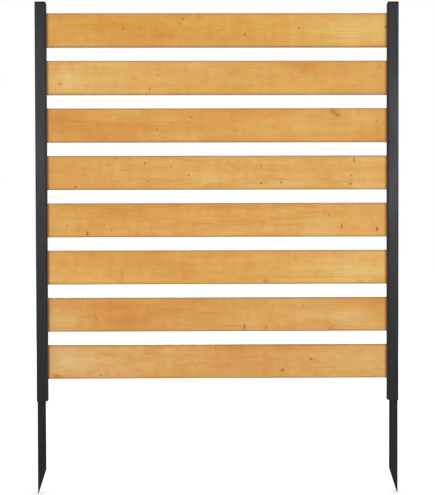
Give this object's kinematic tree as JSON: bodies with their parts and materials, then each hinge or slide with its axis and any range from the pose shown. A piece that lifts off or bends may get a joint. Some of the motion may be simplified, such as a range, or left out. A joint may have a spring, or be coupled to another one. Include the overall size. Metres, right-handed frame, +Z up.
{
  "type": "garden privacy screen",
  "caption": "Free-standing garden privacy screen: spaced horizontal timber slats held between square steel posts on pointed ground stakes.",
  "frame": {"origin": "on the ground line, where the posts end and the bare stakes begin, midway between the posts and at the middle of their depth", "axes": "+Z up, +X to the right as seen from the front, -Y towards the viewer in front"},
  "size_m": [0.95, 0.032, 1.288],
  "materials": {
    "powder_coat": "satin black powder coat with a fine texture",
    "stake_coat": "black powder coat, slightly darker and flatter",
    "cap_plastic": "matt black moulded plastic",
    "pine": "honey stained knotty pine, planed, satin",
    "zinc_steel": "bright zinc plating",
    "black_steel": "black zinc plating, satin",
    "nut_steel": "welded in and coated with the stake"
  },
  "bodies": {
    "root": {"post_left": "powder_coat", "post_cap_left": "cap_plastic", "ground_stake_left": "stake_coat", "slat_screws_left": "zinc_steel", "stake_bolts_left": "black_steel", "stake_nuts_left": "nut_steel", "post_right": "powder_coat", "post_cap_right": "cap_plastic", "ground_stake_right": "stake_coat", "slat_screws_right": "zinc_steel", "stake_bolts_right": "black_steel", "stake_nuts_right": "nut_steel", "slat_1": "pine", "slat_2": "pine", "slat_3": "pine", "slat_4": "pine", "slat_5": "pine", "slat_6": "pine", "slat_7": "pine", "slat_8": "pine"}
  },
  "joints": []
}
